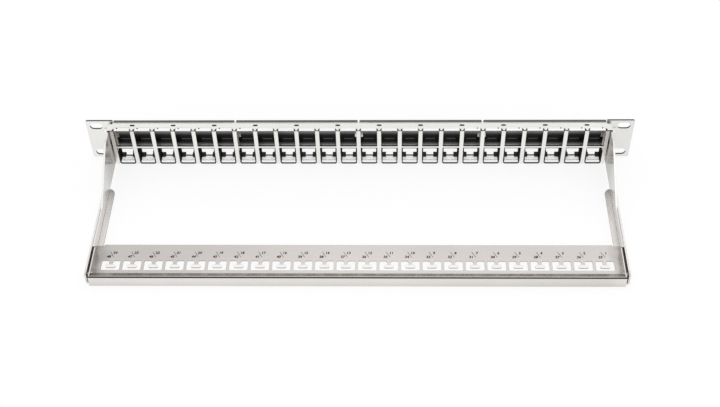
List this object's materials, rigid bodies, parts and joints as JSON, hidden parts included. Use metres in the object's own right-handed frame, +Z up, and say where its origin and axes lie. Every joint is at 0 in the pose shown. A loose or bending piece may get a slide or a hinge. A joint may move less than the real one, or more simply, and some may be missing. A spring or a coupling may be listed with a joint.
{
  "type": "patch panel",
  "caption": "One-unit rack patch panel with black port bezels, a metal divider comb and a sliding rear cable support with T-shaped tie points",
  "frame": {"origin": "centre of the four rack slots, on the rear face of the two mounting ears", "axes": "+X is to the right seen from the front, +Y points to the rear into the rack, +Z is up; the ports face -Y"},
  "size_m": [0.4826, 0.1536, 0.044],
  "materials": {
    "sheet_metal": "satin zinc-plated sheet",
    "support_metal": "satin plated sheet, slightly warm",
    "rivet_metal": "satin",
    "bezel_plastic": "black, semi-gloss",
    "label_card": "matt white card",
    "clear_cover": "clear acrylic"
  },
  "bodies": {
    "panel": {"front_plate": "sheet_metal", "port_comb": "sheet_metal", "side_arm_left": "sheet_metal", "side_arm_right": "sheet_metal", "port_bezel_1": "bezel_plastic", "label_strip_1": "label_card", "label_cover_1": "clear_cover", "port_bezel_2": "bezel_plastic", "label_strip_2": "label_card", "label_cover_2": "clear_cover", "port_bezel_3": "bezel_plastic", "label_strip_3": "label_card", "label_cover_3": "clear_cover", "port_bezel_4": "bezel_plastic", "label_strip_4": "label_card", "label_cover_4": "clear_cover"},
    "cable_support": {"support_frame": "support_metal", "tie_tray": "support_metal", "tray_rivets": "rivet_metal"}
  },
  "joints": [
    {"name": "cable_support_slide", "type": "slide", "parent": "panel", "child": "cable_support", "axis": [0, 1, 0], "range_m": [-0.022, 0.03]}
  ]
}
